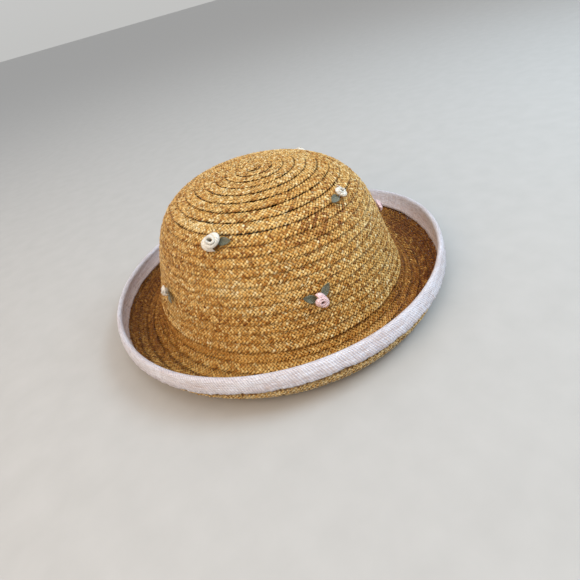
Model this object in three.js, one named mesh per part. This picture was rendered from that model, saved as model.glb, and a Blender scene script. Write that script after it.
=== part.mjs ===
// A child's straw hat with a round, tapering crown and a brim that is rolled up all the way round.
// The crown and brim are sewn from plaited straw, a folded ribbon binds the brim's edge, and
// small ribbon roses with green ribbon leaves are sewn on the crown in two staggered rows.
// Millimetres, +Z up. The hat stands on the belly of its rolled brim, at z = 0.
import * as THREE from 'three';

// Walls
const STRAW = 2; // sewn plaited straw
const RIBBON = 1; // binding ribbon, gathered over the edge
const LEAF_THICK = 1;
const GAP = 0.3; // left between pieces that touch

// Crown: its outline runs from the foot to the tip
const CROWN_FOOT = 86; // mean outer radius where the brim begins
const CROWN_RISE = 74; // foot to tip
const CROWN_WALL_PULL = { out: 66.4, up: 43.4 }; // draws the wall in as it rises
const CROWN_TOP_PULL = 78.6; // the larger, the squarer the shoulder
const CROWN_OVAL = 0.045; // longer front to back, shorter side to side, by this share of the radius
const CROWN_LEAN = { x: 2.4, y: -1.8 }; // the tip stands this far off the middle of the foot

// Brim: it drops from the crown's foot to its belly, and rolls up from there to the edge.
// Each wave is a mean with a once-round and a twice-round change, highest at the stated turn.
const BRIM_DROP = 9; // foot to the belly's upper side
const BRIM_BEND = { mean: 3.77, once: 1.17, onceAt: -140, twice: 0.92, twiceAt: -64 }; // degrees per mm
const BRIM_WIDTH = { mean: 43.3, once: 1.1, onceAt: -10, twice: 3.4, twiceAt: 28 }; // along the roll
const BELLY_PRESS = 0.2; // pressed flat by the hat's own weight
// Shares of the width, from the crown's foot to the edge
const BELLY = 0.35; // here the brim is lowest
const BELLY_FLAT = 0.04; // stands flat this far to each side of the belly
const BOUND = 0.8; // here the binding ribbon begins

// Binding ribbon, folded over the edge
const BINDING_LEG = 9.3; // ribbon inside the roll, back from the edge
const FOLD_BACK = 0.8; // the fold is round about a line this far back from the edge

// Ribbon roses. Turn is in degrees round the crown, rise is the share of the outline above the
// foot, and each leaf is a direction round its rose, 0 towards a larger turn and 90 uphill.
const ROSES = [
  { turn: 211.2, rise: 0.499, wide: 12.5, colour: 'white', leaves: [6] },
  { turn: 284.9, rise: 0.53, wide: 8.0, colour: 'white', leaves: [188] },
  { turn: 21.5, rise: 0.487, wide: 9.0, colour: 'white', leaves: [270] },
  { turn: 173.5, rise: 0.204, wide: 8.5, colour: 'white', leaves: [335] },
  { turn: 252.8, rise: 0.186, wide: 9.5, colour: 'pink', leaves: [50, 150] },
  { turn: 328.5, rise: 0.21, wide: 9.5, colour: 'pink', leaves: [10] },
  { turn: 71.0, rise: 0.18, wide: 9.0, colour: 'pink', leaves: [180] },
];
// A rose's outline as shares of its width, up from its seat and down into its open middle
const ROSE_OUTLINE = [
  { out: 0, up: 0 },
  { out: 0.34, up: 0 },
  { out: 0.48, up: 0.14 },
  { out: 0.5, up: 0.32 },
  { out: 0.4, up: 0.5 },
  { out: 0.22, up: 0.54 },
  { out: 0.12, up: 0.34 },
  { out: 0, up: 0.3 },
];
const LEAF_TIP = 10.5; // from the middle of the rose
const LEAF_ROOT = 2.4;
const LEAF_ROOT_WIDTH = 2.4;
const LEAF_WIDTH = 7.5;

// Fineness
const SIDES = 48; // round the hat
const CROWN_STEPS = 15;
const BINDING_STEPS = 4; // inside the roll
const BINDING_OUTSIDE_STEPS = 3; // the ribbon's outside leg is one step shorter
const FOLD_STEPS = 4;
const ROSE_SIDES = 12;
const LEAF_STEPS = 5;

// The crown's axis stands here, so that the origin is under the middle of the whole hat
const AXIS = { x: -6.4, y: -4.3 };

const FOOT_Z = STRAW + BRIM_DROP - BELLY_PRESS;
const radians = THREE.MathUtils.degToRad;
const { mapLinear } = THREE.MathUtils;

const PAINT = {
  straw: new THREE.MeshStandardMaterial({ color: 0xc4965a, roughness: 0.6, metalness: 0 }),
  binding: new THREE.MeshStandardMaterial({ color: 0xd9cbd8, roughness: 0.4, metalness: 0 }),
  white: new THREE.MeshStandardMaterial({ color: 0xe8e4da, roughness: 0.5, metalness: 0 }),
  pink: new THREE.MeshStandardMaterial({ color: 0xe6c2c8, roughness: 0.5, metalness: 0 }),
  leaf: new THREE.MeshStandardMaterial({ color: 0x5c6b4c, roughness: 0.5, metalness: 0 }),
};

function wave({ mean, once, onceAt, twice, twiceAt }, turn) {
  const first = once * Math.cos(turn - radians(onceAt));
  return mean + first + twice * Math.cos(2 * (turn - radians(twiceAt)));
}

function oval(turn) {
  return 1 - CROWN_OVAL * Math.cos(2 * turn);
}

// Even shares from 0 to 1
function steps(count) {
  return Array.from({ length: count + 1 }, (_, i) => i / count);
}

// Stands a lathe's axis up along Z and moves each vertex to place(turn, radius, height)
function turned(profile, sides, place) {
  const geometry = new THREE.LatheGeometry(profile, sides);
  geometry.rotateX(Math.PI / 2);
  const spots = geometry.getAttribute('position');
  for (let i = 0; i < spots.count; i += 1) {
    const turn = Math.atan2(spots.getY(i), spots.getX(i));
    const radius = Math.hypot(spots.getX(i), spots.getY(i));
    const spot = place(turn, radius, spots.getZ(i));
    spots.setXYZ(i, spot.x, spot.y, spot.z);
  }
  return geometry;
}

function piece(name, geometry, material) {
  const mesh = new THREE.Mesh(geometry, material);
  mesh.name = name;
  return mesh;
}

// Crown

const crownOutline = new THREE.CubicBezierCurve(
  new THREE.Vector2(CROWN_FOOT, 0),
  new THREE.Vector2(CROWN_WALL_PULL.out, CROWN_WALL_PULL.up),
  new THREE.Vector2(CROWN_TOP_PULL, CROWN_RISE),
  new THREE.Vector2(0, CROWN_RISE),
);

// A point of the round outline, sunk into the wall, brought to its place on the oval hat
function onCrown(turn, radius, height) {
  const lean = height / CROWN_RISE;
  const wide = radius * oval(turn);
  return new THREE.Vector3(
    wide * Math.cos(turn) + CROWN_LEAN.x * lean,
    wide * Math.sin(turn) + CROWN_LEAN.y * lean,
    FOOT_Z + GAP + height,
  );
}

// Sunk square to the wall, but level at the foot and straight down at the tip
function outlineSpot(share, sink) {
  const spot = crownOutline.getPoint(share);
  const along = crownOutline.getTangent(share);
  if (share === 0) {
    return new THREE.Vector2(spot.x - sink, spot.y);
  }
  if (share === 1) {
    return new THREE.Vector2(0, spot.y - sink);
  }
  return new THREE.Vector2(spot.x - sink * along.y, spot.y + sink * along.x);
}

function crown() {
  const outside = steps(CROWN_STEPS).map((share) => outlineSpot(share, 0));
  const inside = steps(CROWN_STEPS).map((share) => outlineSpot(share, STRAW));
  const profile = [...inside.reverse(), ...outside];
  return piece('crown', turned(profile, SIDES, onCrown), PAINT.straw);
}

// Brim

// A point on the rolled brim: so far along from the crown's foot, and so deep below its upper side
function rolled(turn, along, depth) {
  const bend = radians(wave(BRIM_BEND, turn));
  const start = -Math.acos(1 - BRIM_DROP * bend);
  const lie = start + bend * along;
  const out = (Math.sin(lie) - Math.sin(start)) / bend + depth * Math.sin(lie);
  const up = (Math.cos(start) - Math.cos(lie)) / bend - depth * Math.cos(lie);
  const radius = CROWN_FOOT * oval(turn) + out;
  return new THREE.Vector3(radius * Math.cos(turn), radius * Math.sin(turn), Math.max(FOOT_Z + up, 0));
}

// Brings a share of the brim's width to millimetres, so that the belly and the binding keep their shares
function alongBrim(turn, share) {
  const width = wave(BRIM_WIDTH, turn);
  const bend = radians(wave(BRIM_BEND, turn));
  const belly = Math.acos(1 - BRIM_DROP * bend) / bend;
  const bound = width - BINDING_LEG;
  if (share < BELLY) {
    return mapLinear(share, 0, BELLY, 0, belly);
  }
  if (share < BOUND) {
    return mapLinear(share, BELLY, BOUND, belly, bound);
  }
  return mapLinear(share, BOUND, 1, bound, width);
}

// The brim starts as a flat ring whose radius counts shares of the width in hundreds
const FLAT_RING = { inner: 100, share: 100 };

function brim() {
  const drop = [0, 0.11, 0.22, BELLY - BELLY_FLAT];
  const roll = [BELLY + BELLY_FLAT, 0.5, 0.6, 0.7];
  const bound = steps(BINDING_STEPS).map((step) => mapLinear(step, 0, 1, BOUND, 1));
  const shares = [...drop, ...roll, ...bound];
  const top = shares.map((share) => new THREE.Vector2(FLAT_RING.inner + FLAT_RING.share * share, 0));
  const under = top.map((spot) => new THREE.Vector2(spot.x, -STRAW)).reverse();
  const profile = [...under, ...top, under[0].clone()].reverse();
  const geometry = turned(profile, SIDES, (turn, radius, height) => {
    const share = (radius - FLAT_RING.inner) / FLAT_RING.share;
    return rolled(turn, alongBrim(turn, share), -height);
  });
  return piece('brim', geometry, PAINT.straw);
}

// Binding

// The ribbon starts as a flat ring around an edge at this radius
const FLAT_EDGE = 100;

function brimBinding() {
  const slot = STRAW / 2 + GAP;
  const half = slot + RIBBON;
  // back is measured from the edge towards the crown, and side from the middle of the straw
  const legs = steps(BINDING_STEPS).slice(1).map((step) => step * BINDING_LEG);
  const outsideLegs = legs.slice(0, BINDING_OUTSIDE_STEPS);
  const outside = [
    ...[...outsideLegs].reverse().map((back) => ({ back, side: -half })),
    ...steps(FOLD_STEPS).map((step) => {
      const turn = Math.PI * (step - 0.5);
      return { back: FOLD_BACK - half * Math.cos(turn), side: half * Math.sin(turn) };
    }),
    ...legs.map((back) => ({ back, side: half })),
  ];
  const inside = [
    ...[...legs].reverse().map((back) => ({ back, side: slot })),
    { back: -GAP, side: slot },
    { back: -GAP, side: -slot },
    ...outsideLegs.map((back) => ({ back, side: -slot })),
  ];
  const loop = [...outside, ...inside, outside[0]];
  const profile = loop.map((spot) => new THREE.Vector2(FLAT_EDGE - spot.back, spot.side));
  const geometry = turned(profile, SIDES, (turn, radius, side) => {
    const along = wave(BRIM_WIDTH, turn) - (FLAT_EDGE - radius);
    return rolled(turn, along, STRAW / 2 - side);
  });
  return piece('brim_binding', geometry, PAINT.binding);
}

// Roses and leaves

function rose(name, { wide, colour }) {
  const profile = ROSE_OUTLINE.map(({ out, up }) => new THREE.Vector2(out * wide, up * wide));
  const geometry = turned(profile, ROSE_SIDES, (turn, radius, height) => new THREE.Vector3(
    radius * Math.cos(turn),
    radius * Math.sin(turn),
    height,
  ));
  const mesh = piece(name, geometry, PAINT[colour]);
  mesh.position.z = LEAF_THICK + 2 * GAP;
  return mesh;
}

function leaf(name, direction, lift) {
  const outline = new THREE.Shape();
  const middle = (LEAF_ROOT + LEAF_TIP) / 2;
  outline.moveTo(LEAF_ROOT, -LEAF_ROOT_WIDTH / 2);
  outline.quadraticCurveTo(middle, -LEAF_WIDTH, LEAF_TIP, 0);
  outline.quadraticCurveTo(middle, LEAF_WIDTH, LEAF_ROOT, LEAF_ROOT_WIDTH / 2);
  outline.closePath();
  const geometry = new THREE.ExtrudeGeometry(outline, {
    depth: LEAF_THICK,
    bevelEnabled: false,
    curveSegments: LEAF_STEPS,
  });
  const mesh = piece(name, geometry, PAINT.leaf);
  mesh.rotation.z = radians(direction);
  mesh.position.z = lift;
  return mesh;
}

// A group that stands on the crown's outside, with +Z out of the straw and +Y uphill
function seatOnCrown({ turn, rise }) {
  const place = (turns, share) => {
    const spot = crownOutline.getPointAt(share);
    return onCrown(turns, spot.x, spot.y);
  };
  const step = 0.001;
  const at = place(radians(turn), rise);
  const round = place(radians(turn) + step, rise).sub(at).normalize();
  const uphill = place(radians(turn), rise + step).sub(at).normalize();
  const outward = new THREE.Vector3().crossVectors(round, uphill).normalize();
  uphill.crossVectors(outward, round);
  const seat = new THREE.Group();
  seat.setRotationFromMatrix(new THREE.Matrix4().makeBasis(round, uphill, outward));
  seat.position.copy(at);
  return seat;
}

function roseSpray(number, spray) {
  const seat = seatOnCrown(spray);
  seat.add(rose(`rose_${number}`, spray));
  spray.leaves.forEach((direction, i) => {
    const name = i === 0 ? `leaf_${number}` : `leaf_${number}_second`;
    seat.add(leaf(name, direction, GAP));
  });
  return seat;
}

const hat = new THREE.Group();
hat.add(crown(), brim(), brimBinding());
ROSES.forEach((spray, i) => hat.add(roseSpray(i + 1, spray)));
hat.position.set(AXIS.x, AXIS.y, 0);

export default hat;
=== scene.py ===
"""A straw hat with a domed crown and a rolled brim, bound with satin ribbon and trimmed with ribbon roses.

The straw is a plait of six split straws, sewn in a spiral from the crown's tip to the brim's edge. Lengths
are in millimetres until a mesh is made, and the plait follows the surface that the frame's solids have.
"""
import math

import bpy
import numpy as np
from mathutils import Euler, Matrix, Vector


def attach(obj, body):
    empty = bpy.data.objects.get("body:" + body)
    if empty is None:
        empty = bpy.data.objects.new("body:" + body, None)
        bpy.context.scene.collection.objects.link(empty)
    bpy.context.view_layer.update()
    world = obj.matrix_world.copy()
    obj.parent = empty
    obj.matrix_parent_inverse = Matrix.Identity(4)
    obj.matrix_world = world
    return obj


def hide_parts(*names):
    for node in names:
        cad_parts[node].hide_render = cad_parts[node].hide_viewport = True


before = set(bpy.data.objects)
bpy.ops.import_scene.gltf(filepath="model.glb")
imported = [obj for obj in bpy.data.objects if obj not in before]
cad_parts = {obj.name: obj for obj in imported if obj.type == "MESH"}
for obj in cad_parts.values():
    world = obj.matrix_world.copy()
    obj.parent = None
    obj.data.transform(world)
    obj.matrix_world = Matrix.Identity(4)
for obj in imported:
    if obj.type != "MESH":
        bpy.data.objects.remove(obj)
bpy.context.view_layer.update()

chance = np.random.default_rng(11)
METRE = 1000.0
BAKE_MAP = "OFBake"

# The hat's form, as the frame has it
STRAW = 2.0
GAP = 0.3  # under the crown, once it is so far up
GAP_FULL_AT = 10.0
AXIS = (-6.4, -4.3)
CROWN_FOOT = 86.0
CROWN_RISE = 74.0
CROWN_WALL_PULL = (66.4, 43.4)
CROWN_TOP_PULL = 78.6
CROWN_OVAL = 0.045
CROWN_LEAN = (2.4, -1.8)
BRIM_DROP = 9.0
BRIM_BEND = dict(mean=3.77, once=1.17, once_at=-140, twice=0.92, twice_at=-64)  # degrees per mm
BRIM_WIDTH = dict(mean=43.3, once=1.1, once_at=-10, twice=3.4, twice_at=28)
BELLY_PRESS = 0.2
FOOT_Z = STRAW + BRIM_DROP - BELLY_PRESS

# The plait
STRANDS = 6
STRAND_WIDTH = 1.5
STRAND_THICK = 0.42
STRAND_RISE = 0.25  # over and under its neighbours
STEP = 1.0  # across the plait, from one crossing to the next
STEP_AHEAD = 1.08  # along the plait
PLAIT_WIDTH = STRANDS * STEP + STRAND_WIDTH
EDGE_WIDTH = 0.8  # share of a strand's width that is left where it turns back at the plait's edge
TIP_CLEAR = 0.25  # no strand comes nearer to the tip
TIP_TURN = 0.8  # nor is the first row measured nearer to it
# How much crossings differ: in mm, or as shares of the rise, turn, width and shade
UNEVEN = dict(side=0.16, lift=0.05, lift_share=0.3, twist=0.24, width=0.17, shade=0.2)
WANDER = dict(reach=0.25, lengths=(31.0, 57.0, 113.0))  # of the whole plait, across its row
STRAW_LASTS = (45, 150)  # crossings until the next straw is laid in
STRAWS = 200  # for each strand, more than any stretch uses up
PIECES = [  # (name, CAD node it stands for, first row, last row), each laid a little over the one before
    ("crown_plait_top", "crown", 0.5, 14.6),
    ("crown_plait_wall", "crown", 14.594, 21.2),
    ("brim_plait_inner", "brim", 21.194, 25.3),
    ("brim_plait_outer", "brim", 25.294, 29.0),
]
PACKING = dict(gap=0.5, inset=0.2, margin=3)  # of the strands on the map named for baking

# The plait's rows
ROWS_FROM = -122.0  # the turn at which the rows are counted, in degrees
ROW_EDGES = [  # (rows from the tip, distance from the tip to the row's outer edge)
    (0.35, 0.3), (4, 25.7), (10, 67.5), (11, 73.4), (21.2, 128.3), (29.2, 171.6),
]
ROW_PROUD = 0.44  # depth of a row's outer edge under the hat's outside
# Each pair below is a list of rows from the tip, and a value at each of them
ROW_WIDER = ((0, 9, 11), (1.1, 1.08, 1.0))
# How much deeper a row's inner edge lies, and the share of a row over which it goes down
ROW_SINK = ((1.5, 2.5, 10, 13, 16, 20.5, 21.6, 23), (0.3, 0.55, 0.6, 0.5, 0.4, 0.4, 0.55, 0.5))
SINK_ENDS = 1.12
# The shade where rows meet, and how far it reaches
ROW_LINE = (
    (1.5, 3, 9, 13, 16, 20, 21.1, 21.3, 22.3, 22.6),
    (0.1, 0.65, 0.7, 0.7, 0.7, 0.65, 0.65, 0.85, 0.85, 0.85),
)
ROW_LINE_BREAKS = (0.15, 1.15)  # it comes and goes from one crossing to the next, between these shares
ROW_LINE_WIDTH = ((9, 13, 21.1, 21.3, 22.2, 22.5), (0.4, 0.8, 0.95, 1.5, 1.5, 1.1))
LINE_FADES = 0.9  # over this width
LAP_LINE = dict(width=1.9, shade=1.0, breaks=(0.4, 1.1))  # the same on the brim's outside
# The rows lie tight against each other round the lower crown's front and left, and show less there.
# This pair is a list of turns in degrees, and the share of the shade at each of them
WALL_LINE = ((-180, -125, -95, -30, 100, 150), (0.35, 0.4, 1.25, 1.4, 1, 0.4))
TOP_ENDS = ((11, 15), (1, 0))
ROLL_STARTS = ((23.4, 24.4), (0, 1))
# The crease at the crown's foot is open at some turns, and closes at the front left and towards the back
CREASE_OPEN = ((-130, -95, -60, 20, 60, 100, 190, 230), (0.15, 1, 1, 0.8, 1, 0.6, 0.5, 0.15))
CREASE_FROM = 20.6  # rows from the tip
CREASE = dict(depth=0.7, length=5.0)  # the brim starts so far under the crown's last row

# The plait's tones, from the brownest straw at 0 to the palest at 1, and its shades, from dark to none
ROW_TONE = ((0, 9, 14, 21.1), (0.59, 0.57, 0.55, 0.53))
# By turn, with painted shade: the brim's straw is browner at the back and on the right, where it lies in shade,
# and near the crown's own gold at the front, where it is lit
BRIM_SHADED_TONE = (
    (-240, -205, -180, -160, -110, -85, -60, -20, 60),
    (0.20, 0.20, 0.32, 0.49, 0.49, 0.32, 0.12, 0.12, 0.2),
)
BRIM_STARTS = ((21.2, 21.3), (0, 1))  # it turns browner with its painted shade, and sinks into the crease, along these rows
UNDERSIDE_PAINTED_LIGHT = 0.95  # painted light: the brim's outside is painted paler, as if lit from below
TONE_SPREAD = dict(straw=0.10, crown=0.17, brim=0.08)  # from straw to straw, and from crossing to crossing
# For a strand under its neighbours, at the plait's edge, and over them
DIVE_SHADE = dict(crown=(0.22, 0.58, 1.0), brim=(0.50, 0.74, 1.0))
OUTER_DIVE_SHADE = (0.12, 0.55, 1.0)
DARKEST_DIVE = 0.1
BELLY_SHADE = ((24.6, 25.6), (0, 0.6))  # share of the outside's shade that the strands' edges take

# The binding
BINDING_OUTSIDE = 7.0  # ribbon on the brim's outside, back from the edge
BINDING_INSIDE = dict(mean=10.4, once=1.2, once_at=40, twice=0.3, twice_at=0)
BINDING_HALF = 1.58  # from the middle of the straw to the middle of the ribbon
BINDING_THICK = 0.34
BINDING_FOLD = 0.8  # the ribbon starts to turn so far back from the edge
BINDING_RADIUS = CROWN_FOOT + 30.0  # about, to count millimetres of ribbon by
BINDING_COUNT = dict(length=1800, leg=9)
BINDING_JOIN = dict(turn=70.0, overlap=9.0, lift=1.1, ahead=0.01, ramp=0.02)  # degrees, mm, layers, radians
GATHERS = dict(outside=(3.3, 4.7, 6.7, 11.0), inside=(3.7, 5.2, 8.3, 14.0), fold=0.12, edge=0.30, slant=0.5)
EDGE_WAVES = dict(outside=(17.0, 29.0, 53.0), inside=(19.0, 37.0, 61.0), reach=0.5)
PULLS = dict(across=(2.9, 4.3), along=(41.0, 67.0), sway=1.2, height=0.13)  # creases along the ribbon
EDGE_LIFT = 0.16
STITCH = dict(spacing=3.4, length=2.4, thick=0.3, from_edge=0.9, above=0.36, uneven=0.12)
STITCH_RADIUS = CROWN_FOOT + 27.0  # about, to count stitches by
STITCH_ARCH = ((-0.5, -0.30), (-0.25, 0.10), (0.0, 0.20), (0.25, 0.10), (0.5, -0.30))  # (share, height)

ROSES = [  # (turn, share of the crown's outline above its foot, width, colour, leaf directions)
    (211.2, 0.499, 12.5, "white", (6,)),
    (284.9, 0.53, 8.0, "white", (188,)),
    (21.5, 0.487, 9.0, "white", (270,)),
    (173.5, 0.204, 8.5, "white", (335,)),
    (252.8, 0.186, 9.5, "pink", (50, 150)),
    (328.5, 0.21, 9.5, "pink", (10,)),
    (71.0, 0.18, 9.0, "pink", (180,)),
]
# Shares of a rose's width, and the power by which its lip droops
ROSE_ROLL = dict(start=0.03, slit=0.07, grows=0.20, bulge=0.05)
ROSE_LIP = dict(start=0.08, grows=0.03, petal=0.15)
ROSE_TALL = dict(start=0.44, drops=0.20, petal=0.08)
ROSE_DROOP = dict(start=0.02, grows=0.20, power=1.8)
# Turns of the roll, petals a turn, height of its foot in mm, and the shares of the ribbon that stand and fold
ROSE_SHAPE = dict(turns=2.3, petals=2.3, seat=0.9, wall=0.5, fold=0.4)
ROSE_TURNED = dict(first=180, each=137.5)  # degrees
ROSE_COUNT = dict(length=150, width=9)
ROSE_CLOTH = (4.5, 0.5)  # the ribbon's length and width, as shares of the rose's
LEAF = dict(root=2.4, root_half=1.2, pull=7.5, tip=10.5, end=0.985)
LEAF_RISE = dict(seat=0.75, tip=1.1, cup=0.55, power=1.5)
LEAF_RUFFLE = dict(height=0.25, along=7, across=3)
LEAF_COUNT = dict(length=16, width=11)
RIBBON_THICK = 0.3
# How a ribbon's two sides lie on the map named for baking, as shares of a line
SHEET_MAP = dict(inset=0.01, span=0.98, room=1.05, above=0.04, width=0.43, back=0.5)

# Colours
STRAW_GOLDS = [
    (0.0, (0.22, 0.065, 0.008)),
    (0.3, (0.48, 0.21, 0.032)),
    (0.55, (0.75, 0.44, 0.12)),
    (0.8, (0.90, 0.66, 0.28)),
    (1.0, (0.95, 0.80, 0.48)),
]
STRAW_SHADE = (0.14, 0.06, 0.02, 1)
RIBBONS = dict(  # (material, pale, deep)
    binding=("satin_ribbon", (0.81, 0.84, 0.93, 1), (0.52, 0.42, 0.40, 1)),
    white=("white_ribbon", (0.86, 0.84, 0.77, 1), (0.70, 0.67, 0.59, 1)),
    pink=("pink_ribbon", (0.86, 0.66, 0.67, 1), (0.74, 0.46, 0.48, 1)),
    green=("green_ribbon", (0.17, 0.175, 0.115, 1), (0.085, 0.095, 0.06, 1)),
)
# Painted shade in the troughs of the binding's creases
CREASE_PAINTED_SHADE = (0.27, 0.26, 0.36, 1)
STRAW_BOUNCE_PAINT = dict(start=12.8, gain=0.065, colour=(0.64, 0.43, 0.32, 1))  # painted light: warm light thrown back from the straw, by mm across, next to the straw
THREAD = ((0.36, 0.33, 0.36, 1), (0.52, 0.50, 0.53, 1))
FLOOR = ((0.42, 0.415, 0.405, 1), (0.48, 0.475, 0.465, 1))

# The stage, in metres and watts
LAMPS = [  # (name, place, size, power, colour)
    ("cool_window", (0.65, -0.45, 0.85), 0.55, 8.4, (0.66, 0.85, 1.0)),
    ("warm_room", (-0.80, -0.15, 0.60), 0.7, 4.1, (1.0, 0.64, 0.33)),
    ("above", (-0.20, -0.30, 1.2), 0.9, 4.0, (1.0, 0.96, 0.90)),
]
LAMPS_FACE = (0, 0, 0.04)
FLOOR_SIZE = 30
FLOOR_HEIGHT = -0.0002
ROOM = dict(low=(0.52, 0.52, 0.51, 1), high=(0.78, 0.79, 0.81, 1), strength=1.05)

# Place, lens and sensor in mm, angles in degrees: heading from the x axis, tilt from level, roll
CAMERA = dict(place=(-131.3, -225.1, 171.9), heading=59.129, tilt=-35.867, roll=-15.652)
LENS = dict(focal=26.2, sensor=36.0, near=10.0)


# The hat's surface

def wave(w, turn):
    """A size that swells once and twice on the way round the hat."""
    once = w["once"] * np.cos(turn - math.radians(w["once_at"]))
    return w["mean"] + once + w["twice"] * np.cos(2 * (turn - math.radians(w["twice_at"])))


def crown_outline(count=3000):
    """Radius, height and distance from the tip, for points from the crown's tip to its foot."""
    t = np.linspace(1, 0, count)
    points = [(CROWN_FOOT, 0), CROWN_WALL_PULL, (CROWN_TOP_PULL, CROWN_RISE), (0, CROWN_RISE)]
    weights = [(1 - t) ** 3, 3 * t * (1 - t) ** 2, 3 * t ** 2 * (1 - t), t ** 3]
    radius = sum(w * p[0] for w, p in zip(weights, points))
    height = sum(w * p[1] for w, p in zip(weights, points))
    along = np.concatenate([[0], np.cumsum(np.hypot(np.diff(radius), np.diff(height)))])
    return radius, height, along


OUTLINE_RADIUS, OUTLINE_HEIGHT, OUTLINE_ALONG = crown_outline()
OUTLINE_LIE = np.arctan2(np.gradient(OUTLINE_HEIGHT), np.gradient(OUTLINE_RADIUS))
CROWN_LENGTH = OUTLINE_ALONG[-1]


def on_crown(turn, along, depth):
    lie = np.interp(along, OUTLINE_ALONG, OUTLINE_LIE)
    radius = np.interp(along, OUTLINE_ALONG, OUTLINE_RADIUS) + depth * np.sin(lie)
    height = np.interp(along, OUTLINE_ALONG, OUTLINE_HEIGHT) - depth * np.cos(lie)
    wide = radius * (1 - CROWN_OVAL * np.cos(2 * turn))
    lean = height / CROWN_RISE
    x = wide * np.cos(turn) + CROWN_LEAN[0] * lean
    y = wide * np.sin(turn) + CROWN_LEAN[1] * lean
    z = FOOT_Z + GAP * np.clip(height / GAP_FULL_AT, 0, 1) + height
    return np.stack([x, y, z], -1)


def on_brim(turn, along, depth):
    bend = np.radians(wave(BRIM_BEND, turn))
    start = -np.arccos(1 - BRIM_DROP * bend)
    lie = start + bend * along
    out = (np.sin(lie) - np.sin(start)) / bend + depth * np.sin(lie)
    up = (np.cos(start) - np.cos(lie)) / bend - depth * np.cos(lie)
    radius = CROWN_FOOT * (1 - CROWN_OVAL * np.cos(2 * turn)) + out
    return np.stack([radius * np.cos(turn), radius * np.sin(turn), np.maximum(FOOT_Z + up, 0)], -1)


def on_hat(turn, along, depth):
    """The point that far from the tip, and that deep under the outside. Past the foot, distances are shares
    of the mean brim, so that a row of the plait keeps its place where the brim is wide or narrow."""
    turn, along, depth = np.broadcast_arrays(turn, along, depth)
    past = (along - CROWN_LENGTH) * wave(BRIM_WIDTH, turn) / BRIM_WIDTH["mean"]
    crown = on_crown(turn, np.clip(along, 0, CROWN_LENGTH), depth)
    brim = on_brim(turn, np.maximum(past, 0), depth)
    place = np.where((along < CROWN_LENGTH)[..., None], crown, brim)
    return place + np.array([*AXIS, 0])


# Meshes

def piece(name, points, quads, material, corner_maps=None, point_values=None, replaces=()):
    """A mesh object on the root body, with its corners' places on each named map and its points' values."""
    mesh = bpy.data.meshes.new(name)
    mesh.vertices.add(len(points))
    mesh.vertices.foreach_set("co", (points / METRE).astype(np.float32).ravel())
    mesh.loops.add(quads.size)
    mesh.loops.foreach_set("vertex_index", quads.astype(np.int32).ravel())
    mesh.polygons.add(len(quads))
    mesh.polygons.foreach_set("loop_start", np.arange(len(quads), dtype=np.int32) * 4)
    for map_name, places in (corner_maps or {}).items():
        mesh.uv_layers.new(name=map_name).uv.foreach_set("vector", places.astype(np.float32).ravel())
    for value_name, values in (point_values or {}).items():
        attribute = mesh.attributes.new(value_name, "FLOAT", "POINT")
        attribute.data.foreach_set("value", values.astype(np.float32).ravel())
    mesh.update(calc_edges=True)
    mesh.polygons.foreach_set("use_smooth", np.ones(len(quads), bool))
    mesh.materials.append(material)
    made = bpy.data.objects.new(name, mesh)
    bpy.context.scene.collection.objects.link(made)
    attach(made, "root")
    if replaces:
        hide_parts(*replaces)
    return made


def unit(v):
    return v / np.maximum(np.linalg.norm(v, axis=-1, keepdims=True), 1e-9)


def spread(lengths, at):
    """Smooth noise from about -1 to 1: random waves of those lengths, read at the given places."""
    total = 0
    for length in lengths:
        total = total + np.sin(2 * np.pi * (at / length + chance.random()) + chance.random())
    return total / len(lengths)


def tubes(paths, across, normal, wide, thick):
    """Points, quads and end caps of flat strands, lens-shaped across. Paths are strands x stations x 3."""
    side = across * (wide / 2)[..., None]
    rise = normal * thick / 2
    ring = np.stack([paths - side, paths + rise, paths + side, paths - rise], 2)
    strands, stations = paths.shape[:2]
    number = np.arange(strands * stations * 4).reshape(strands, stations, 4)
    here = number[:, :-1]
    ahead = number[:, 1:]
    quads = np.stack([here, np.roll(here, -1, 2), np.roll(ahead, -1, 2), ahead], -1).reshape(-1, 4)
    caps = np.concatenate([number[:, 0, ::-1], number[:, -1]])
    return ring.reshape(-1, 3), quads, caps


def shell_rim(number):
    """The points round the edge of a grid, from its first corner back to it."""
    return np.concatenate([number[:, 0], number[-1, 1:], number[-2::-1, -1], number[0, -2::-1]])


def shell(grid, thick):
    """Points and quads of a closed thin sheet with its middle on the grid, rows x columns x 3."""
    normal = unit(np.cross(np.gradient(grid, axis=0), np.gradient(grid, axis=1)))
    half = normal * thick / 2
    points = np.concatenate([(grid + half).reshape(-1, 3), (grid - half).reshape(-1, 3)])
    rows, columns = grid.shape[:2]
    top = np.arange(rows * columns).reshape(rows, columns)
    under = top + rows * columns
    face = np.stack([top[:-1, :-1], top[1:, :-1], top[1:, 1:], top[:-1, 1:]], -1).reshape(-1, 4)
    rim = shell_rim(top)
    low = shell_rim(under)
    edge = np.stack([rim[1:], rim[:-1], low[:-1], low[1:]], -1)
    return points, np.concatenate([face, (face + rows * columns)[:, ::-1], edge])


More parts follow.
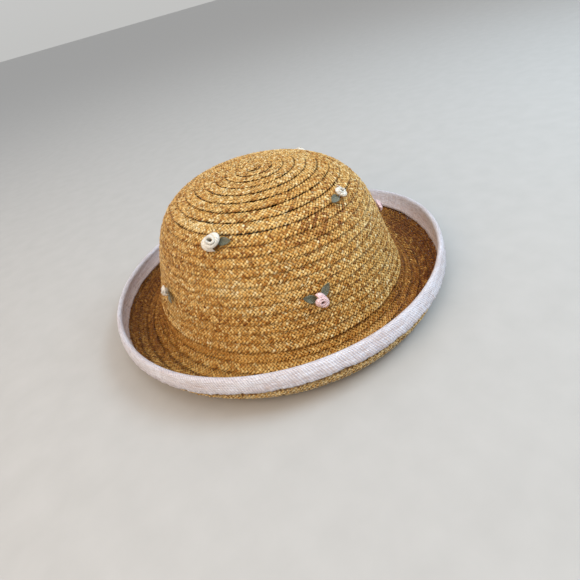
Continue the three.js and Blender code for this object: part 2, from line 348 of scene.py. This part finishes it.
def shell_maps(rows, columns, size, lines=1):
    """The shell's corners in millimetres of cloth, and packed into the unit square in so many lines.
    Rows run along the cloth, and size is its length and width."""
    r, c = [x.ravel() for x in np.meshgrid(np.arange(rows - 1), np.arange(columns - 1), indexing="ij")]
    row = np.stack([r, r + 1, r + 1, r], -1) / (rows - 1)
    column = np.stack([c, c, c + 1, c + 1], -1) / (columns - 1)
    rim = shell_rim(np.arange(rows * columns).reshape(rows, columns))
    edge = np.stack([rim[1:], rim[:-1], rim[:-1], rim[1:]], -1)
    row = np.concatenate([row, row[:, ::-1], edge // columns / (rows - 1)])
    column = np.concatenate([column, column[:, ::-1], edge % columns / (columns - 1)])
    side = np.repeat([0, 1, 0], [len(r), len(r), len(edge)])[:, None]
    line = np.minimum(np.floor(row.min(1) * lines), lines - 1)[:, None]
    u = SHEET_MAP["inset"] + SHEET_MAP["span"] * (row * lines - line) / SHEET_MAP["room"]
    v = (line + SHEET_MAP["above"] + SHEET_MAP["width"] * column + SHEET_MAP["back"] * side) / lines
    cloth = np.stack([row * size[0], column * size[1]], -1)
    return {"cloth": cloth.reshape(-1, 2), BAKE_MAP: np.stack([u, v], -1).reshape(-1, 2)}


# Finishes

class Value:
    """A socket that takes part in sums."""

    def __init__(self, finish, socket):
        self.finish = finish
        self.socket = socket

    def _math(self, operation, *values):
        return self.finish.node("ShaderNodeMath", {"operation": operation}, dict(enumerate(values)))

    def __add__(self, other):
        return self._math("ADD", self, other)

    def __radd__(self, other):
        return self._math("ADD", other, self)

    def __sub__(self, other):
        return self._math("SUBTRACT", self, other)

    def __rsub__(self, other):
        return self._math("SUBTRACT", other, self)

    def __mul__(self, other):
        return self._math("MULTIPLY", self, other)

    def __rmul__(self, other):
        return self._math("MULTIPLY", other, self)

    def sine(self):
        return self._math("SINE", self)

    def scaled(self, factors):
        """A vector times a vector."""
        return self.finish.node("ShaderNodeVectorMath", {"operation": "MULTIPLY"}, {0: self, 1: factors})

    def part(self, axis):
        return self.finish.node("ShaderNodeSeparateXYZ", {}, {0: self}, axis)


class Finish:
    """A node material that is put together from values."""

    def __init__(self, name, **constants):
        self.material = bpy.data.materials.new(name)
        self.material.use_nodes = True
        self.tree = self.material.node_tree
        self.shader = self.tree.nodes["Principled BSDF"]
        for socket, value in constants.items():
            self.shader.inputs[socket.replace("_", " ")].default_value = value

    def node(self, kind, settings, inputs, output=0):
        made = self.tree.nodes.new(kind)
        for key, value in settings.items():
            if key == "stops":
                self._ramp(made.color_ramp, value)
            else:
                setattr(made, key, value)
        for key, value in inputs.items():
            if isinstance(value, Value):
                self.tree.links.new(value.socket, made.inputs[key])
            else:
                made.inputs[key].default_value = value
        return Value(self, made.outputs[output])

    @staticmethod
    def _ramp(ramp, stops):
        while len(ramp.elements) < len(stops):
            ramp.elements.new(1)
        for element, (place, colour) in zip(ramp.elements, stops):
            element.position = place
            element.color = (*colour, 1)

    def attribute(self, name):
        return self.node("ShaderNodeAttribute", {"attribute_name": name}, {}, "Fac")

    def map(self, name):
        return self.node("ShaderNodeUVMap", {"uv_map": name}, {})

    def place(self):
        return self.node("ShaderNodeTexCoord", {}, {}, "Object")

    def noise(self, vector, scale, detail=2.0):
        return self.node("ShaderNodeTexNoise", {}, {"Vector": vector, "Scale": scale, "Detail": detail}, "Fac")

    def ramp(self, value, stops):
        return self.node("ShaderNodeValToRGB", {"stops": stops}, {"Fac": value})

    def mix(self, share, first, second, blend="MIX"):
        settings = {"data_type": "RGBA", "blend_type": blend}
        return self.node("ShaderNodeMix", settings, {0: share, 6: first, 7: second}, 2)

    def bump(self, height, distance, strength=1.0):
        inputs = {"Height": height, "Distance": distance, "Strength": strength}
        return self.node("ShaderNodeBump", {}, inputs)

    def set(self, **values):
        for socket, value in values.items():
            self.tree.links.new(value.socket, self.shader.inputs[socket.replace("_", " ")])
        return self.material


def straw_finish():
    """Split straw: each has its own gold, with fine fibres along it, and painted shade where it dives under its
    neighbours and where rows meet.
    """
    finish = Finish("plaited_straw", Specular_IOR_Level=0.28)
    fibre = finish.noise(finish.map("strand").scaled((0.35, 5.0, 1.0)), 1.0, 3.0)
    split = finish.noise(finish.map("strand").scaled((0.5, 1.7, 1.0)), 1.0)
    cloud = finish.noise(finish.place(), 34.0)
    tone = finish.attribute("tone") + (fibre - 0.5) * 0.30 + (split - 0.5) * 0.5 + (cloud - 0.5) * 0.34
    gold = finish.ramp(tone, STRAW_GOLDS)
    # Painted shade: darker where a strand dives under others and where rows meet
    shade = finish.mix(finish.attribute("open"), STRAW_SHADE, (1, 1, 1, 1))
    return finish.set(
        Base_Color=finish.mix(1.0, gold, shade, "MULTIPLY"),
        Roughness=0.28 + fibre * 0.26,
        Normal=finish.bump(fibre, 0.0002, 0.5),
    )


def ribbon_finish(name, pale, deep, painted_light_and_shade):
    """Satin ribbon: streaks along it, and fine slanting creases that come and go where it is eased round. On
    the binding, painted shade in the creases' troughs and painted warm light thrown back from the straw.
    """
    finish = Finish(name, Specular_IOR_Level=0.8, Sheen_Weight=0.2, Sheen_Roughness=0.4)
    cloth = finish.map("cloth")
    warp = finish.noise(cloth.scaled((0.07, 0.12, 1.0)), 1.0)
    creases = (cloth.part(0) * 4.2 + cloth.part(1) * 2.6 + warp * 9.0).sine()
    drift = finish.noise(cloth.scaled((0.04, 0.25, 1.0)), 1.0)
    streaks = finish.noise(cloth.scaled((0.16, 2.2, 1.0)), 1.0, 3.0)
    colour = finish.mix(drift * 1.2 + streaks * 1.8 - 1.0, deep, pale)
    if painted_light_and_shade:
        # Painted light: warm light thrown back from the straw, stronger towards the ribbon's edge next to it
        bounce_share = (cloth.part(1) - STRAW_BOUNCE_PAINT["start"]) * STRAW_BOUNCE_PAINT["gain"]
        colour = finish.mix(bounce_share, colour, STRAW_BOUNCE_PAINT["colour"])
        crease_shade_patches = finish.noise(cloth.scaled((0.6, 0.6, 1.0)), 1.0, 3.0)
        # Painted shade in the troughs of the creases, in patches
        colour = finish.mix((1 - creases) * (crease_shade_patches - 0.25) * 0.75, colour, CREASE_PAINTED_SHADE)
    return finish.set(
        Base_Color=colour,
        Roughness=0.16 + streaks * 0.28,
        Normal=finish.bump(creases * 0.6 + streaks * 2.5, 0.00018, 0.9),
    )


def thread_finish():
    finish = Finish("thread", Specular_IOR_Level=0.5)
    worn = finish.noise(finish.place(), 900.0)
    return finish.set(Base_Color=finish.mix(worn, *THREAD), Roughness=0.4 + worn * 0.2)


def floor_finish():
    finish = Finish("pale_floor", Specular_IOR_Level=0.2)
    grain = finish.noise(finish.place(), 60.0, 4.0)
    return finish.set(Base_Color=finish.mix(grain, *FLOOR), Roughness=0.8 + grain * 0.1)


# Plait

def row_edge(rows):
    """The distance from the tip to that row's outer edge."""
    return np.interp(rows, *zip(*ROW_EDGES))


def around(side, table):
    """A table of turns in degrees and values, read all the way round."""
    return np.interp(side, *table, period=360)


def plait_line(first, last, fine=0.001):
    """Rows, and lengths along the middle of the plait, for its points from row to row."""
    rows = np.arange(first, last, fine)
    turn = math.radians(ROWS_FROM) + 2 * np.pi * rows
    place = on_hat(turn, np.maximum(row_edge(rows) - PLAIT_WIDTH / 2, TIP_TURN), ROW_PROUD)
    length = np.concatenate([[0], np.cumsum(np.linalg.norm(np.diff(place, axis=0), axis=1))])
    return rows, length


class Stretch:
    """One stretch of the plait: its strands cross to and fro, over one and under one. Its arrays have a row
    for each strand, and a column for each crossing along the plait."""

    def __init__(self, node, first, last):
        line_rows, line_length = plait_line(first, last)
        self.node = node
        self.columns = np.arange(int(line_length[-1] / STEP_AHEAD) + 1)
        self.rows = np.interp(self.columns * STEP_AHEAD, line_length, line_rows)
        cycle = (self.columns + 2 * np.arange(STRANDS)[:, None]) % (2 * STRANDS)
        level = np.where(cycle <= STRANDS, cycle, 2 * STRANDS - cycle)
        rising = cycle < STRANDS
        self.shape = level.shape
        self.at_edge = (level == 0) | (level == STRANDS)
        self.over = np.where(self.at_edge, 0, np.where(rising == (self.columns % 2 == 0), 1, -1))

        self.turn = math.radians(ROWS_FROM) + 2 * np.pi * self.rows + np.zeros(self.shape)
        self.side = np.degrees(self.turn) % 360
        wander = WANDER["reach"] * spread(WANDER["lengths"], self.columns * STEP_AHEAD)
        across = (level / STRANDS - 0.5) * STRANDS * STEP * np.interp(self.rows, *ROW_WIDER)
        self.across = across + wander + UNEVEN["side"] * self.uneven()
        self.from_edge = PLAIT_WIDTH / 2 - self.across
        self.pitch = (row_edge(self.rows + 0.5) - row_edge(self.rows - 0.5)) + np.zeros(self.shape)
        self.crease_open = around(self.side, CREASE_OPEN)

    def uneven(self):
        return chance.standard_normal(self.shape)

    def read(self, table):
        """A table of rows and values, read at each crossing."""
        return np.interp(self.rows, *table)

    def strands(self):
        """Points, quads and end caps of the strands."""
        along = np.maximum(row_edge(self.rows) - PLAIT_WIDTH / 2 + self.across, TIP_CLEAR)
        sink = ROW_PROUD + self.read(ROW_SINK) * np.clip(self.from_edge / self.pitch, 0, SINK_ENDS)
        if self.node == "brim":
            opening = np.exp(-np.maximum(along - CROWN_LENGTH, 0) / CREASE["length"])
            sink = sink + CREASE["depth"] * self.crease_open * opening * self.read(BRIM_STARTS)
        rise = STRAND_RISE * self.over * (1 + UNEVEN["lift_share"] * self.uneven())
        path = on_hat(self.turn, along, sink - (rise + UNEVEN["lift"] * self.uneven()))
        outward = unit(on_hat(self.turn, along, sink - 1.0) - on_hat(self.turn, along, sink))
        ahead = unit(np.gradient(path, axis=1))
        sideways = unit(np.cross(outward, ahead))
        outward = np.cross(ahead, sideways)
        twist = UNEVEN["twist"] * self.uneven()[..., None]
        sideways, outward = sideways + twist * outward, outward - twist * sideways
        wide = STRAND_WIDTH * (1 + UNEVEN["width"] * self.uneven()) * np.where(self.at_edge, EDGE_WIDTH, 1.0)
        return tubes(path, unit(sideways), unit(outward), wide, STRAND_THICK)

    def tones(self):
        """The tone of each point: the stretch's own, each straw's, painted shade round the brim by turn, and
        painted light that makes the brim's outside paler.
        """
        joints = np.cumsum(chance.uniform(*STRAW_LASTS, (STRANDS, STRAWS)), 1)
        own = chance.standard_normal((STRANDS, STRAWS + 1))
        straw = np.stack([own[k][np.searchsorted(joints[k], self.columns)] for k in range(STRANDS)])
        ground = self.read(ROW_TONE) + np.zeros(self.shape)
        # Painted shade round the brim, by turn
        if self.node == "brim":
            ground = ground + (around(self.side, BRIM_SHADED_TONE) - ground) * self.read(BRIM_STARTS)
        tone = ground + TONE_SPREAD["straw"] * straw + TONE_SPREAD[self.node] * self.uneven()
        # Painted light: the brim's outside is painted paler, as if lit from below
        outer = tone + (UNDERSIDE_PAINTED_LIGHT - ground) if self.node == "brim" else tone
        return np.stack([tone, tone, tone, outer], -1)

    def shades(self):
        """Painted shade: how open each point lies to the light, from 0 to 1: less where a strand is under
        others, and where rows meet.
        """
        covered = np.clip((self.from_edge - self.pitch + self.read(ROW_LINE_WIDTH)) / LINE_FADES, 0, 1)
        top = self.read(TOP_ENDS)
        wall_line = top + (1 - top) * around(self.side, WALL_LINE)
        # Round the roll, the painted shade where rows meet follows how open the crease is
        roll = self.read(ROLL_STARTS)
        roll_line = roll + (1 - roll) * self.crease_open
        line = self.read(ROW_LINE) * np.where(self.rows > CREASE_FROM, roll_line, wall_line)
        line = line * chance.uniform(*ROW_LINE_BREAKS, self.columns.shape)
        dive = np.array(DIVE_SHADE[self.node])[self.over + 1] * (1 + UNEVEN["shade"] * self.uneven())
        inner = np.clip(dive, DARKEST_DIVE, 1) * np.clip(1 - covered * line, 0, 1)
        # On the outside of the brim the rows lap the other way, and what is over is under
        lapped = np.clip((PLAIT_WIDTH - self.pitch + LAP_LINE["width"] - self.from_edge) / LINE_FADES, 0, 1)
        lap = lapped * LAP_LINE["shade"] * chance.uniform(*LAP_LINE["breaks"], self.columns.shape)
        outer = np.array(OUTER_DIVE_SHADE)[1 - self.over] * (1 - lap)
        if self.node == "crown":
            return np.stack([inner] * 4, -1)
        edges = inner + (outer - inner) * self.read(BELLY_SHADE)
        return np.clip(np.stack([edges, inner, edges, outer], -1), 0, 1)

    def maps(self, caps):
        """The strands' corners in millimetres, and packed for baking as lines of strand, one above the next."""
        stride = math.hypot(STEP, STEP_AHEAD)
        lengths = np.arange(len(self.columns) - 1) * stride
        girth = 2 * STRAND_WIDTH + PACKING["gap"]
        sheet = math.sqrt(STRANDS * lengths[-1] * girth)
        start = (np.arange(STRANDS)[:, None] * (lengths[-1] + stride) + lengths).reshape(-1, 1, 1)
        begin = np.concatenate([start, start + stride], 1)
        line = np.floor(start / sheet)
        u = (begin - line * sheet)[:, [0, 0, 1, 1], 0][:, None, :] + np.zeros((1, 4, 1))
        round_it = np.arange(4)[None, :, None] + np.array([0, 1, 1, 0])[None, None, :]
        v = line * girth + PACKING["inset"] + round_it * (girth - PACKING["gap"]) / 4
        flat = np.stack([u, v + 0 * u], -1).reshape(-1, 2)
        flat = np.concatenate([flat, np.zeros((caps.size, 2))])
        whole = max(sheet + PACKING["margin"], (line.max() + 1) * girth)
        return {BAKE_MAP: flat / whole, "strand": flat}


def plait(name, node, first, last, material):
    stretch = Stretch(node, first, last)
    points, quads, caps = stretch.strands()
    values = {"tone": stretch.tones(), "open": stretch.shades()}
    faces = np.concatenate([quads, caps])
    piece(name, points, faces, material, stretch.maps(caps), values, (node,))


# Binding

def brim_edge(turn, back, half):
    """A point round the brim's edge: so far back from it, and so far out from the straw's middle.
    Half is positive on the upper side."""
    width = wave(BRIM_WIDTH, turn)
    return on_brim(turn, width - back, STRAW / 2 - half) + np.array([*AXIS, 0])


def binding(material):
    """Satin ribbon folded over the brim's edge, eased in by small gathers, its end laid over its start."""
    start = math.radians(BINDING_JOIN["turn"])
    extra = BINDING_JOIN["overlap"] / BINDING_RADIUS
    turn = np.linspace(start, start + 2 * math.pi + extra, BINDING_COUNT["length"])[:, None]
    share = np.linspace(1, 0, BINDING_COUNT["leg"])[None]
    bend = np.linspace(0, math.pi, BINDING_COUNT["leg"])[None, 1:-1] + 0 * turn
    outside = BINDING_FOLD + (BINDING_OUTSIDE - BINDING_FOLD) * share + 0 * turn
    inside = BINDING_FOLD + (wave(BINDING_INSIDE, turn) - BINDING_FOLD) * share[:, ::-1]
    back = np.concatenate([outside, BINDING_FOLD - BINDING_HALF * np.sin(bend), inside], 1)
    half = np.concatenate([0 * outside - 1, -np.cos(bend), 0 * inside + 1], 1) * BINDING_HALF
    free = np.concatenate([share[0], 0 * bend[0], share[0, ::-1]])[None]
    under = half < 0

    at = turn * BINDING_RADIUS + GATHERS["slant"] * back * np.sign(half)
    gathers = np.where(under, spread(GATHERS["outside"], at), spread(GATHERS["inside"], at))
    wavy = np.where(under, spread(EDGE_WAVES["outside"], at), spread(EDGE_WAVES["inside"], at))
    sway = PULLS["sway"] * spread(PULLS["along"], turn * BINDING_RADIUS)
    drawn = spread(PULLS["across"], back + sway)
    back = back + EDGE_WAVES["reach"] * wavy * free ** 2
    gathered = gathers * (GATHERS["fold"] + GATHERS["edge"] * free)
    swell = EDGE_LIFT * free ** 2 + gathered + PULLS["height"] * drawn
    join = (turn - start - 2 * math.pi + BINDING_JOIN["ahead"]) / BINDING_JOIN["ramp"]
    lap = np.clip(join, 0, 1) * BINDING_THICK * BINDING_JOIN["lift"]
    grid = brim_edge(turn, back, half + np.sign(half) * (swell + lap) * (np.abs(half) / BINDING_HALF))
    points, quads = shell(grid, BINDING_THICK)
    wide = np.linalg.norm(np.diff(grid, axis=1), axis=2).sum(1).mean()
    long = np.linalg.norm(np.diff(grid, axis=0), axis=2).sum(0).mean()
    maps = shell_maps(*grid.shape[:2], (long, wide), 6)
    name = "brim_binding_ribbon"
    made = piece(name, points, quads, material, maps, None, ("brim_binding",))


def stitches(material):
    """Thread that shows as one short stitch after another, on both sides of the binding."""
    count = int(2 * math.pi * STITCH_RADIUS / STITCH["spacing"])
    middle = np.arange(count)[:, None] * 2 * math.pi / count
    share, height = np.array(STITCH_ARCH).T
    turn = middle + share * STITCH["length"] / STITCH_RADIUS
    paths = []
    for side, leg in ((-1, BINDING_OUTSIDE + 0 * turn), (1, wave(BINDING_INSIDE, turn))):
        back = leg - STITCH["from_edge"] + STITCH["uneven"] * chance.standard_normal((count, 1))
        paths.append(brim_edge(turn, back, side * (BINDING_HALF + STITCH["above"] + height)))
    path = np.concatenate(paths)
    ahead = unit(np.gradient(path, axis=1))
    out = unit(path - (np.array([*AXIS, FOOT_Z])))
    sideways = unit(np.cross(out, ahead))
    wide = np.full(path.shape[:2], STITCH["thick"])
    points, quads, caps = tubes(path, sideways, np.cross(ahead, sideways), wide, STITCH["thick"])
    piece("binding_stitches", points, np.concatenate([quads, caps]), material)


# Roses and leaves

def seat(turn, rise):
    """Where a spray is sewn on the crown: its place, and its axes round the crown, uphill and outward."""
    turn = math.radians(turn)
    along = CROWN_LENGTH * (1 - rise)
    step = 0.5
    here = on_hat(turn, along, 0.0)
    uphill = unit(on_hat(turn, along - step, 0.0) - here)
    outward = unit(on_hat(turn, along, -step) - here)
    return here, np.stack([np.cross(uphill, outward), uphill, outward])


def rose(number, wide, where, material):
    """Narrow ribbon rolled round a slit, its upper edge turned out in petals that cover the roll."""
    place, axes = where
    phi = np.linspace(0, 2 * np.pi * ROSE_SHAPE["turns"], ROSE_COUNT["length"])[:, None]
    up = np.linspace(0, 1, ROSE_COUNT["width"])[None]
    grown = phi / phi.max()
    phase = math.radians(ROSE_TURNED["first"] + ROSE_TURNED["each"] * (number - 1))
    petal = 0.5 + 0.5 * np.sin(ROSE_SHAPE["petals"] * phi + phase)
    slit = 0.5 + 0.5 * np.cos(2 * phi)
    wall = np.sin(np.pi * np.minimum(up / ROSE_SHAPE["wall"], 1) / 2)
    fold = np.maximum(up - ROSE_SHAPE["fold"], 0) / (1 - ROSE_SHAPE["fold"])
    roll = ROSE_ROLL["start"] + ROSE_ROLL["slit"] * slit * (1 - grown) + ROSE_ROLL["grows"] * grown
    lip = wide * (ROSE_LIP["start"] + ROSE_LIP["grows"] * grown + ROSE_LIP["petal"] * grown * petal)
    radius = wide * (roll + ROSE_ROLL["bulge"] * grown * wall) + lip * np.sin(np.pi * fold / 2)
    tall = wide * (ROSE_TALL["start"] - ROSE_TALL["drops"] * grown + ROSE_TALL["petal"] * petal * grown)
    droop = wide * (ROSE_DROOP["start"] + ROSE_DROOP["grows"] * grown) * fold ** ROSE_DROOP["power"]
    height = ROSE_SHAPE["seat"] + tall * wall - droop
    angle = phi + phase
    flat = [radius * np.cos(angle), radius * np.sin(angle), height + 0 * radius]
    grid = place + np.stack(flat, -1) @ axes
    points, quads = shell(grid, RIBBON_THICK)
    maps = shell_maps(*grid.shape[:2], [wide * share for share in ROSE_CLOTH])
    name = f"rose_{number}"
    piece(f"{name}_ribbon", points, quads, material, maps, None, (name,))


def leaf(node, direction, where, material):
    """A leaf of folded ribbon: creased along its middle, cupped, with its tip off the straw."""
    place, axes = where
    t = np.linspace(0, LEAF["end"], LEAF_COUNT["length"])[:, None]
    side = np.linspace(-1, 1, LEAF_COUNT["width"])[None]
    middle = (LEAF["root"] + LEAF["tip"]) / 2
    out = (1 - t) ** 2 * LEAF["root"] + 2 * t * (1 - t) * middle + t ** 2 * LEAF["tip"]
    half = (1 - t) ** 2 * LEAF["root_half"] + t * (1 - t) * LEAF["pull"]
    waves = LEAF_RUFFLE["along"] * t + LEAF_RUFFLE["across"] * side + chance.uniform(0, 6)
    ruffle = LEAF_RUFFLE["height"] * np.sin(waves) * np.abs(side)
    cup = LEAF_RISE["cup"] * np.abs(side) ** LEAF_RISE["power"] * half / 2
    height = LEAF_RISE["seat"] + LEAF_RISE["tip"] * t ** 2 + cup + ruffle
    angle = math.radians(direction)
    x = out * math.cos(angle) - half * side * math.sin(angle)
    y = out * math.sin(angle) + half * side * math.cos(angle)
    grid = place + np.stack([x, y, height + 0 * x], -1) @ axes
    points, quads = shell(grid, RIBBON_THICK)
    maps = shell_maps(*grid.shape[:2], (LEAF["tip"], LEAF["pull"]))
    piece(f"{node}_ribbon", points, quads, material, maps, None, (node,))


def sprays(ribbons):
    for number, (turn, rise, wide, colour, leaves) in enumerate(ROSES, 1):
        where = seat(turn, rise)
        rose(number, wide, where, ribbons[colour])
        for i, direction in enumerate(leaves):
            node = f"leaf_{number}_second" if i else f"leaf_{number}"
            leaf(node, direction, where, ribbons["green"])


# Stage

def camera():
    lens = bpy.data.cameras.new("camera")
    lens.lens = LENS["focal"]
    lens.sensor_width = LENS["sensor"]
    lens.clip_start = LENS["near"] / METRE
    made = bpy.data.objects.new("camera", lens)
    aim = Euler((math.radians(90 + CAMERA["tilt"]), 0, math.radians(CAMERA["heading"] - 90)))
    roll = Matrix.Rotation(math.radians(CAMERA["roll"]), 4, "Z")
    made.matrix_world = Matrix.Translation(Vector(CAMERA["place"]) / METRE) @ aim.to_matrix().to_4x4() @ roll
    bpy.context.scene.collection.objects.link(made)
    bpy.context.scene.camera = made


def lamp(name, place, size, power, colour):
    """A square lamp that faces the hat."""
    light = bpy.data.lights.new(name, "AREA")
    light.size = size
    light.energy = power
    light.color = colour
    made = bpy.data.objects.new(name, light)
    made.location = place
    made.rotation_euler = (Vector(LAMPS_FACE) - made.location).to_track_quat("-Z", "Y").to_euler()
    bpy.context.scene.collection.objects.link(made)


def floor():
    bpy.ops.mesh.primitive_plane_add(size=FLOOR_SIZE, location=(0, 0, FLOOR_HEIGHT))
    made = bpy.context.object
    made.name = "floor"
    made.data.materials.append(floor_finish())


def room():
    """Light from all sides, a little brighter from above."""
    world = bpy.data.worlds.new("room")
    world.use_nodes = True
    nodes = world.node_tree.nodes
    links = world.node_tree.links
    view = nodes.new("ShaderNodeTexCoord")
    axes = nodes.new("ShaderNodeSeparateXYZ")
    sky = nodes.new("ShaderNodeValToRGB")
    sky.color_ramp.elements[0].color = ROOM["low"]
    sky.color_ramp.elements[1].color = ROOM["high"]
    links.new(view.outputs["Generated"], axes.inputs[0])
    links.new(axes.outputs["Z"], sky.inputs["Fac"])
    links.new(sky.outputs["Color"], nodes["Background"].inputs["Color"])
    nodes["Background"].inputs["Strength"].default_value = ROOM["strength"]
    bpy.context.scene.world = world
    bpy.context.scene.view_settings.view_transform = "Standard"


camera()
straw = straw_finish()
ribbons = {use: ribbon_finish(*ribbon, painted_light_and_shade=use == "binding") for use, ribbon in RIBBONS.items()}
for stretch in PIECES:
    plait(*stretch, straw)
binding(ribbons["binding"])
stitches(thread_finish())
sprays(ribbons)
floor()
for each in LAMPS:
    lamp(*each)
room()
